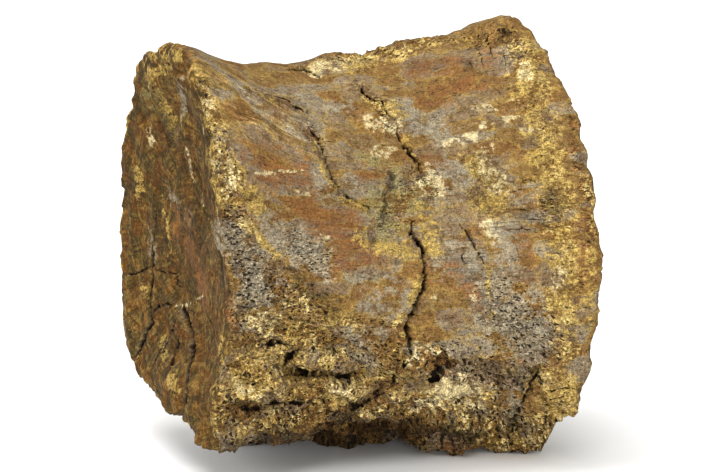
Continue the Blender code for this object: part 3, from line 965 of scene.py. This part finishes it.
class FOSSIL_OT_bone(bpy.types.Operator):
    """Model the bone's skin: relief, ledges, holes and cracks"""

    bl_idname = "fossil.model_bone"
    bl_label = "Model the bone"

    def execute(self, context):
        sizes = context.scene.fossil_sizes
        view = PhotoView(context.scene.fossil_stage)
        piece = copy_of_solid("fossil_bone_skin")
        packed = skin_of(piece.data)
        cracks = view.routes(packed, CRACKS_AND_SHADOW_LINES)
        fill_packed_cracks(piece, cracks[PACKED_CRACKS], sizes)
        mesh = piece.data
        place_points(mesh, tucked(points_of(mesh)))
        place_points(mesh, nudged(points_of(mesh), skin_of(mesh), view))
        skin = skin_of(mesh)
        points = points_of(mesh)
        normals = normals_of(mesh)
        zones = BoneZones(points, normals, view)
        ragged = warped(points)
        sponge = spongy_cover(ragged, zones, view.routes(skin, SPONGY))
        crust = painted(ragged, view.routes(skin, OCHRE + CREAM))
        fibrous = painted(ragged, view.routes(skin, FIBROUS))
        holes = [(radius, deep, view.meet(skin, pixel)) for radius, deep, pixel in HOLES]
        depth = carved(warped(points, 0.8, 1.1), view.routes(skin, LEDGES), holes)
        height = relief(points, zones, sponge, crust, fibrous, sizes) - depth
        height += swollen(ragged, view.routes(skin, SWELLS))
        place_points(mesh, points + normals * height[:, None])
        weights = 1 - zones.shown * (0.6 + 0.4 * sponge)
        group = weigh(piece, "thin more", weights)
        triangles = 2 * len(mesh.polygons)
        apply_modifier(
            piece, "DECIMATE", ratio=sizes.triangles / triangles, vertex_group=group,
            vertex_group_factor=1.0, use_collapse_triangulate=True
        )
        piece.vertex_groups.clear()
        skin = skin_of(piece.data)
        cracks = view.routes(skin, CRACKS_AND_SHADOW_LINES)
        veins = view.routes(skin, VEINS)
        refine_near(piece, cracks + veins, sizes.crack_reach / MM)
        refine_near(piece, cracks + veins, 0.7 * sizes.crack_reach / MM)
        mesh = piece.data
        points = points_of(mesh)
        depth, _ = crack_cover(points, cracks)
        place_points(mesh, points - normals_of(mesh) * depth[:, None])
        finish_bone(piece, points, cracks, veins, skin, view)
        only(piece)
        bpy.ops.object.shade_smooth()
        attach(piece, "root")
        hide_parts("centrum")
        return {"FINISHED"}


def finish_bone(piece, uncut, cracks, veins, skin, view):
    """Stores what the material reads at each vertex, and gives the bone its material."""
    mesh = piece.data
    points = points_of(mesh)
    normals = normals_of(mesh)
    edges = edges_of(mesh)
    zones = BoneZones(uncut, normals, view)
    ragged = warped(uncut)
    # Painted shade: how deep each vertex lies in a small recess and in a broad one, which darkens it.
    low = averaged_points(points, edges, HOLLOW_ROUNDS)
    lower = averaged_points(low, edges, BROAD_HOLLOW_ROUNDS)
    hollow = ((low - points) * normals).sum(1)
    broad_hollow = ((lower - low) * normals).sum(1)
    unseen = 1 - zones.shown
    patches = [bumps(ragged, 11, seed=seed) for seed in (31, 32, 33, 34, 35)]
    for name, strokes, patch in zip(
        ("rust", "ochre", "cream", "grey", "olive"), (RUST, OCHRE, CREAM, GREY, OLIVE), patches
    ):
        cover = painted(ragged, view.routes(skin, strokes))
        elsewhere = RANDOM_PATCHES * smooth_step(0.05, 0.45, patch)
        if name == "cream":
            elsewhere *= 0.5
            cover = np.maximum(cover, painted(uncut, veins))
        if name == "ochre":
            elsewhere = np.maximum(elsewhere, np.maximum(0.7 * zones.rim, 0.6 * zones.below_break))
        cover = np.maximum(cover, elsewhere * (RANDOM_SHOWN + (1 - RANDOM_SHOWN) * unseen))
        store(mesh, name, cover)
    store(mesh, "sponge", spongy_cover(ragged, zones, view.routes(skin, SPONGY)))
    # Painted shade: the foot and the underside towards the dished end are darkened like a stain, as they
    # lie in shadow.
    foot_shade = zones.foot * smooth_step(*FOOT_SHADE_ALONG, uncut[:, 0])
    under = zones.under * smooth_step(*UNDER_SHADE_ALONG, uncut[:, 0])
    stain = np.maximum(painted(ragged, view.routes(skin, STAINS_AND_SHADE)), 0.95 * np.maximum(under, foot_shade))
    store(mesh, "stain", stain)
    store(mesh, "hollow", hollow)
    store(mesh, "broad_hollow", broad_hollow)
    # Cracks and the gouges under ledges are painted dark: earth and painted shade in them.
    store(mesh, "crack", crack_cover(uncut, cracks)[1])
    store(mesh, "face", np.maximum(zones.dished, zones.broad))
    store(mesh, "fibres", zones.fibres)
    store(mesh, "folds", zones.folds)
    store(mesh, "fibrous", painted(ragged, view.routes(skin, FIBROUS)))
    mesh.materials.append(weathered_bone(bpy.context.scene.fossil_colours, bpy.context.scene.fossil_sizes))


# Grains of the finish: the coordinates they follow, their breadth in millimetres along each of
# these, their finer detail and its roughness. Sand and hairs are finer in the real bone. They are
# drawn two pixels wide, the finest that shows.
GRAINS = {
    "clouds": ("bone", (9.0, 9.0, 7.0), 5.0, 0.6),
    "patches": ("bone", (4.5, 4.5, 3.8), 5.0, 0.65),
    "blots": ("bone", (2.2, 2.2, 2.0), 6.0, 0.7),
    "specks": ("bone", (1.3, 1.2, 1.1), 5.0, 0.75),
    "grit": ("bone", (0.7, 0.7, 0.65), 4.0, 0.8),
    "sand": ("bone", (0.33, 0.33, 0.33), 1.0, 0.5),
    "streaks": ("fibres", (8.0, 1.4, 1.4), 6.0, 0.65),
    "hairs": ("fibres", (3.4, 0.36, 0.36), 3.0, 0.6),
    "growth": ("folds", (1.1, 15.0, 15.0), 6.0, 0.68),
    "rays": ("folds", (12.0, 1.3, 1.3), 5.0, 0.65),
}

# Mixtures of the grains, with the share of each.
MIXTURES = {
    "weave": (("growth", 0.6), ("rays", 0.4)),
    "flecks": (("patches", 0.35), ("blots", 0.4), ("specks", 0.25)),
    "stains": (("patches", 0.5), ("blots", 0.3), ("streaks", 0.2)),
    "crumbs": (("tone", 0.35), ("blots", 0.4), ("patches", 0.25)),
}

# Coats of colour in their order, each laid on where a value rises from one level to another: the
# value, the two levels, the colour and its strength.
BARE_BONE = (
    ("plates", 0.4, 0.6, "mauve", 0.7),
    ("plates", 0.84, 0.9, "grey", 0.45),
    ("plates", 0.16, 0.1, "rust", 0.3),
    ("clouds", 0.6, 0.95, "rust", 0.35),
    ("seams", 0.1, 0.0, "ochre", 0.5),
    ("blots", 0.6, 0.95, "ochre", 0.3),
    ("streaks", 0.65, 1.0, "grey", 0.25),
    ("flecks", 0.3, 0.0, "umber", 0.5),
)
END_FACE = (
    ("patches", 0.35, 0.65, "warm_face", 1.0),
    ("blots", 0.55, 0.9, "face_light", 0.45),
    ("weave", 0.6, 1.0, "face_light", 0.4),
    ("clouds", 0.6, 1.0, "rust", 0.15),
    ("weave", 0.3, 0.0, "earth_and_shade", 0.3),
)
POWDER = (
    ("patches", 0.35, 0.75, "gold", 0.5),
    ("blots", 0.5, 0.9, "gold", 0.25),
    ("patches", 0.4, 0.05, "brown", 0.7),
    ("specks", 0.35, 0.05, "umber", 0.4),
)
CRUMBS = (
    ("crumbs", 0.0, 0.2, "brown", 1.0),
    ("crumbs", 0.2, 0.45, "ochre", 1.0),
    ("crumbs", 0.5, 0.8, "gold", 1.0),
    ("crumbs", 0.7, 1.0, "cream", 0.5),
    ("clouds", 0.4, 0.1, "mauve", 0.6),
)

# Layers over the bare bone in their order: stored cover, colour, the grains that break it up, how
# far it reaches through them, how soft its edge is, and its strength.
PATCHES = (
    ("grey", "grey", "flecks", 0.95, 0.25, 0.75),
    ("rust", "rust", "stains", 0.85, 0.35, 0.68),
    ("rust", "deep_rust", "streaks", 0.6, 0.25, 0.5),
    ("olive", "olive", "stains", 0.85, 0.4, 0.7),
    ("ochre", "crust", "flecks", 0.95, 0.22, 0.88),
    ("cream", "cream", "flecks", 0.85, 0.25, 0.8),
    # Real stains, and painted shade under the bone, in the earth-and-shade colour.
    ("stain", "earth_and_shade", "flecks", 0.85, 0.45, 0.75),
)

# Light and dark in the finish: the value, its darkest and lightest shade, and the cover it is for.
SHADES = (
    ("crumbs", 1.15, 1.5, "sponge"),
    ("tone", 1.0, 1.4, "sponge"),
    ("strands", 0.89, 1.11, None),
    ("specks", 0.86, 1.14, "face"),
    ("streaks", 0.6, 1.45, "fibrous"),
    ("hairs", 0.75, 1.26, "fibrous"),
    ("hairs", 0.92, 1.08, None),
    ("patches", 0.9, 1.1, None),
    ("blots", 0.87, 1.13, None),
    ("specks", 0.86, 1.14, None),
    ("grit", 0.81, 1.19, None),
    ("sand", 0.66, 1.34, None),
    ("grit", 0.68, 1.32, "rough"),
    ("sand", 0.68, 1.32, "rough"),
)

# Where earth and painted shade darken the bone: the value, its two levels and the strength. Pits, pores and
# nicks get earth and painted shade, the recesses painted shade, the stain row real stains and painted shade
# under the bone, and the cracks earth and painted shade.
EARTH_AND_SHADE = (
    ("pits", 0.05, -0.05, 0.95),
    ("pores", 0.02, -0.06, 0.5),
    ("nicks", 0.21, 0.11, 0.65),
    ("hollow", 0.35, 1.1, 0.45),
    ("broad_hollow", 0.8, 2.6, 0.35),
    ("stain", 0.7, 1.0, 0.35),
    ("crack", 0.0, 1.0, 1.0),
)

# Cells of the finish, such as plates of bone and pits: the coordinates they follow, their breadth
# along each of these, and how far noise shakes them. Plates and nicks are in millimetres, the others
# in pore spacings.
CELLS = {
    "plates": ("fibres", (9.0, 5.5, 5.5), 1.1),
    "nicks": ("fibres", (3.8, 1.1, 1.1), 0.7),
    "tone": ("fibres", (1.2, 0.8, 0.8), 0.5),
    "pits": ("fibres", (1.9, 0.95, 0.95), 0.9),
    "pores": ("bone", (0.8, 0.8, 0.8), 0.5),
}

# How far the grains stand out, in millimetres, on firm bone and on crusts and open bone, and how
# deep a pit goes.
FIRM_GRAINS = (("strands", 0.12), ("hairs", 0.04), ("blots", 0.14))
LOOSE_GRAINS = (("specks", 0.25), ("grit", 0.3), ("sand", 0.1), ("tone", 0.25))
PIT_DEPTH = 0.3

# What the skin stores for its finish and its painted shade.
COVERS = (
    "rust", "ochre", "cream", "grey", "olive", "stain", "sponge", "fibrous", "crack", "face",
    "hollow", "broad_hollow",
)

# Sockets of a colour Mix node.
MIX_FACTOR = 0
MIX_FIRST = 6
MIX_SECOND = 7
MIX_COLOUR = 2


def add_node(tree, kind, inputs=None, output=0, **settings):
    """Adds a node with its settings, links or sets its inputs, and gives back one of its outputs."""
    made = tree.nodes.new("ShaderNode" + kind)
    for name, value in settings.items():
        setattr(made, name, value)
    for name, value in (inputs or {}).items():
        if isinstance(value, bpy.types.NodeSocket):
            tree.links.new(value, made.inputs[name])
        else:
            made.inputs[name].default_value = value
    return made.outputs[output]


def full(colour):
    return (*colour, 1.0)


def blended(tree, *parts, base=0.0):
    """Several grains seen at once over an even base, each as strong as its share."""
    total = base
    for value, share in parts:
        total = add_node(tree, "Math", {0: value, 1: share, 2: total}, operation="MULTIPLY_ADD")
    return total


def coated(tree, colour, coats, values, paints):
    """The colour with some coats laid over it, each where its value rises between its levels."""
    for value, low, high, paint, strength in coats:
        inputs = {"Value": values[value], "From Min": low, "From Max": high, "To Max": strength}
        share = add_node(tree, "MapRange", inputs, interpolation_type="SMOOTHSTEP")
        inputs = {MIX_FACTOR: share, MIX_FIRST: colour, MIX_SECOND: paints[paint]}
        colour = add_node(tree, "Mix", inputs, MIX_COLOUR, data_type="RGBA")
    return colour


def patched(tree, colour, values, paints):
    """The colour with the painted patches over it, each broken up by grains at its edges."""
    for cover, paint, breakup, reach, softness, strength in PATCHES:
        shaken = blended(tree, (values[cover], reach), (values[breakup], 1.0))
        inputs = {"Value": shaken, "From Min": 1 - softness, "From Max": 1 + softness, "To Max": strength}
        share = add_node(tree, "MapRange", inputs, interpolation_type="SMOOTHSTEP")
        inputs = {"Value": values[cover], "From Min": 0.05, "From Max": 0.4, "To Max": share}
        share = add_node(tree, "MapRange", inputs, interpolation_type="SMOOTHSTEP")
        inputs = {MIX_FACTOR: share, MIX_FIRST: colour, MIX_SECOND: paints[paint]}
        colour = add_node(tree, "Mix", inputs, MIX_COLOUR, data_type="RGBA")
    return colour


def shaded(tree, colour, values):
    """The colour made lighter and darker by the grains."""
    for value, darkest, lightest, cover in SHADES:
        inputs = {"Value": values[value], "From Max": 1.0, "To Min": darkest, "To Max": lightest}
        shade = add_node(tree, "MapRange", inputs)
        inputs = {MIX_FACTOR: values[cover] if cover else 1.0, MIX_FIRST: colour, MIX_SECOND: shade}
        colour = add_node(tree, "Mix", inputs, MIX_COLOUR, data_type="RGBA", blend_type="MULTIPLY")
    return colour


def bone_grains(tree, spacing):
    """The grains of the finish and their mixtures by name, each from 0 to 1."""
    object_place = add_node(tree, "TexCoord", output="Object")
    spaces = {
        "bone": add_node(tree, "VectorMath", {0: object_place, 1: (1 / MM,) * 3}, operation="MULTIPLY"),
        "fibres": add_node(tree, "Attribute", output="Vector", attribute_name="fibres"),
        "folds": add_node(tree, "Attribute", output="Vector", attribute_name="folds"),
    }
    tone = broken_cells(tree, spaces, "tone", spacing, "Color")
    inputs = {"Value": tone, "From Min": 0.25, "From Max": 0.75}
    grains = {"tone": add_node(tree, "MapRange", inputs)}
    for seed, (name, (space, breadths, detail, rough)) in enumerate(GRAINS.items()):
        scale = tuple(1 / breadth for breadth in breadths)
        place = add_node(tree, "VectorMath", {0: spaces[space], 1: scale}, operation="MULTIPLY")
        inputs = {"Vector": place, "W": 3.7 * seed, "Scale": 1.0, "Detail": detail, "Roughness": rough}
        grain = add_node(tree, "TexNoise", inputs, noise_dimensions="4D")
        inputs = {"Value": grain, "From Min": 0.3, "From Max": 0.7}
        grains[name] = add_node(tree, "MapRange", inputs, interpolation_type="SMOOTHSTEP")
    for name, parts in MIXTURES.items():
        mixture = blended(tree, *((grains[part], share) for part, share in parts))
        inputs = {"Value": mixture, "From Min": 0.25, "From Max": 0.75}
        grains[name] = add_node(tree, "MapRange", inputs, interpolation_type="SMOOTHSTEP")
    return grains, spaces


def broken_cells(tree, spaces, name, unit, output, **settings):
    """Cells of random size in a space shaken by noise, so that they look broken, not tiled."""
    space, breadths, shake = CELLS[name]
    scale = tuple(1 / (breadth * unit) for breadth in breadths)
    place = add_node(tree, "VectorMath", {0: spaces[space], 1: scale}, operation="MULTIPLY")
    inputs = {"Vector": place, "Scale": 1.0, "Detail": 4.0, "Roughness": 0.6}
    noise_colour = add_node(tree, "TexNoise", inputs, output="Color")
    inputs = {0: noise_colour, 1: (shake,) * 3, 2: place}
    shaken = add_node(tree, "VectorMath", inputs, operation="MULTIPLY_ADD")
    return add_node(tree, "TexVoronoi", {"Vector": shaken, "Scale": 1.0}, output, **settings)


def weathered_bone(colours, sizes):
    """Mineralised bone, naturally weathered: matt, fibrous and stained, with a faint polish on the
    iron-stained skin, gritty crusts, earth in its pores, and painted shade in its pores, recesses and
    cracks, under its lower edge and on its end faces."""
    material = bpy.data.materials.new("weathered mineralised bone")
    material.use_nodes = True
    tree = material.node_tree
    shader = tree.nodes["Principled BSDF"]
    spacing = sizes.pore_spacing / MM
    values, spaces = bone_grains(tree, spacing)
    for name in COVERS:
        values[name] = add_node(tree, "Attribute", output="Fac", attribute_name=name)
    sponge = values["sponge"]
    plate = broken_cells(tree, spaces, "plates", 1.0, "Color")
    inputs = {"Value": plate, "From Min": 0.25, "From Max": 0.75}
    values["plates"] = add_node(tree, "MapRange", inputs)
    values["seams"] = broken_cells(
        tree, spaces, "plates", 1.0, "Distance", feature="DISTANCE_TO_EDGE"
    )
    from_pit = broken_cells(tree, spaces, "pits", spacing, "Distance")
    uneven = blended(tree, (values["specks"], 0.7), base=0.6)
    from_pit = add_node(tree, "Math", {0: from_pit, 1: uneven}, operation="MULTIPLY")
    pit_growth = blended(tree, (values["blots"], 0.28), base=0.09)
    filled = blended(tree, (values["ochre"], -0.03), (values["cream"], -0.05), base=0.11)
    pit_size = add_node(tree, "Math", {0: sponge, 1: pit_growth, 2: filled}, operation="MULTIPLY_ADD")
    values["pits"] = add_node(tree, "Math", {0: from_pit, 1: pit_size}, operation="SUBTRACT")
    from_nick = broken_cells(tree, spaces, "nicks", 1.0, "Distance")
    values["nicks"] = add_node(tree, "Math", {0: from_nick, 1: uneven}, operation="MULTIPLY")
    from_pore = broken_cells(tree, spaces, "pores", spacing, "Distance")
    inputs = {0: sponge, 1: -0.3, 2: from_pore}
    values["pores"] = add_node(tree, "Math", inputs, operation="MULTIPLY_ADD")
    inputs = {"Factor": values["face"], "A": values["streaks"], "B": values["weave"]}
    values["strands"] = add_node(tree, "Mix", inputs)
    crusty = add_node(tree, "Math", {0: values["ochre"], 1: 0.7}, operation="MULTIPLY")
    values["rough"] = add_node(tree, "Math", {0: crusty, 1: sponge}, operation="MAXIMUM")

    paints = {name: full(getattr(colours, name)) for name in colours.__annotations__}
    powder = coated(tree, paints["ochre"], POWDER, values, paints)
    crumbs = coated(tree, paints["umber"], CRUMBS, values, paints)
    inputs = {MIX_FACTOR: sponge, MIX_FIRST: powder, MIX_SECOND: crumbs}
    paints["crust"] = add_node(tree, "Mix", inputs, MIX_COLOUR, data_type="RGBA")

    flank = coated(tree, paints["brown"], BARE_BONE, values, paints)
    end_face = coated(tree, paints["face"], END_FACE, values, paints)
    inputs = {MIX_FACTOR: values["face"], MIX_FIRST: flank, MIX_SECOND: end_face}
    skin = add_node(tree, "Mix", inputs, MIX_COLOUR, data_type="RGBA")
    skin = patched(tree, skin, values, paints)
    skin = shaded(tree, skin, values)
    skin = coated(tree, skin, [(*levels[:3], "earth_and_shade", levels[3]) for levels in EARTH_AND_SHADE], values, paints)
    tree.links.new(skin, shader.inputs["Base Color"])

    polish = blended(tree, (values["rust"], -0.25), (values["blots"], 0.1), base=0.8)
    tree.links.new(polish, shader.inputs["Roughness"])
    shader.inputs["Specular IOR Level"].default_value = 0.15
    inputs = {"Value": values["pits"], "From Min": 0.1, "From Max": -0.15}
    pits = add_node(tree, "MapRange", inputs, interpolation_type="SMOOTHSTEP")
    loose = blended(tree, *((values[name], share) for name, share in LOOSE_GRAINS))
    loose = add_node(tree, "Math", {0: values["rough"], 1: loose}, operation="MULTIPLY")
    even_relief = ((values[name], share) for name, share in FIRM_GRAINS)
    height = blended(tree, *even_relief, (pits, -PIT_DEPTH), (loose, 1.0))
    relief_normal = add_node(tree, "Bump", {"Height": height, "Strength": 1.0, "Distance": MM})
    tree.links.new(relief_normal, shader.inputs["Normal"])
    return material


def soft_light(name, strength, azimuth, elevation, softness):
    """A light from far off, whose width in the sky makes its shadows soft."""
    bpy.ops.object.light_add(type="SUN")
    lamp = bpy.context.object
    lamp.name = name
    lamp.data.energy = strength
    lamp.data.angle = math.radians(softness)
    lamp.rotation_euler = (math.radians(90 - elevation), 0, math.radians(azimuth))


class FOSSIL_OT_stage(bpy.types.Operator):
    """Set up the pale floor, the soft studio light and the camera"""

    bl_idname = "fossil.set_stage"
    bl_label = "Set the stage"

    def execute(self, context):
        stage = context.scene.fossil_stage
        view = PhotoView(stage)
        bpy.ops.object.select_all(action="DESELECT")
        bpy.ops.mesh.primitive_plane_add(size=stage.floor_size)
        floor = context.object
        floor.name = "studio_floor"
        paper = bpy.data.materials.new("matt white paper")
        paper.use_nodes = True
        shader = paper.node_tree.nodes["Principled BSDF"]
        shader.inputs["Base Color"].default_value = full(stage.floor)
        shader.inputs["Roughness"].default_value = 0.9
        floor.data.materials.append(paper)
        for name, angles in LAMPS.items():
            soft_light(name.replace("_", " "), getattr(stage, name), *angles)
        world = bpy.data.worlds.new("pale room")
        world.use_nodes = True
        world.node_tree.nodes["Background"].inputs["Strength"].default_value = stage.sky_light
        world.node_tree.nodes["Background"].inputs["Color"].default_value = (1, 1, 1, 1)
        context.scene.world = world
        context.scene.view_settings.view_transform = "Standard"
        bpy.ops.object.camera_add(location=view.eye * MM)
        camera = context.object
        camera.rotation_mode = "QUATERNION"
        camera.rotation_quaternion = (-view.back).to_track_quat("-Z", "Y")
        camera.data.lens = stage.lens
        camera.data.sensor_width = stage.sensor
        context.scene.camera = camera
        return {"FINISHED"}


class FOSSIL_PT_panel(bpy.types.Panel):
    """The sizes, colours and stage settings, and the operators that use them"""

    bl_label = "Fossil vertebra"
    bl_idname = "FOSSIL_PT_panel"
    bl_space_type = "VIEW_3D"
    bl_region_type = "UI"
    bl_category = "Fossil"

    def draw(self, context):
        for group in (context.scene.fossil_sizes, context.scene.fossil_colours, context.scene.fossil_stage):
            for name in group.__annotations__:
                self.layout.prop(group, name)
        for operator in OPERATORS:
            self.layout.operator(operator.bl_idname)


OPERATORS = (FOSSIL_OT_bone, FOSSIL_OT_stage)
CLASSES = (FossilSizes, FossilColours, StageSettings, *OPERATORS, FOSSIL_PT_panel)


def register():
    for made in CLASSES:
        bpy.utils.register_class(made)
    bpy.types.Scene.fossil_sizes = PointerProperty(type=FossilSizes)
    bpy.types.Scene.fossil_colours = PointerProperty(type=FossilColours)
    bpy.types.Scene.fossil_stage = PointerProperty(type=StageSettings)


def unregister():
    del bpy.types.Scene.fossil_stage
    del bpy.types.Scene.fossil_colours
    del bpy.types.Scene.fossil_sizes
    for made in reversed(CLASSES):
        bpy.utils.unregister_class(made)


def main():
    register()
    bpy.ops.fossil.set_stage()
    bpy.ops.fossil.model_bone()


if __name__ == "__main__":
    main()
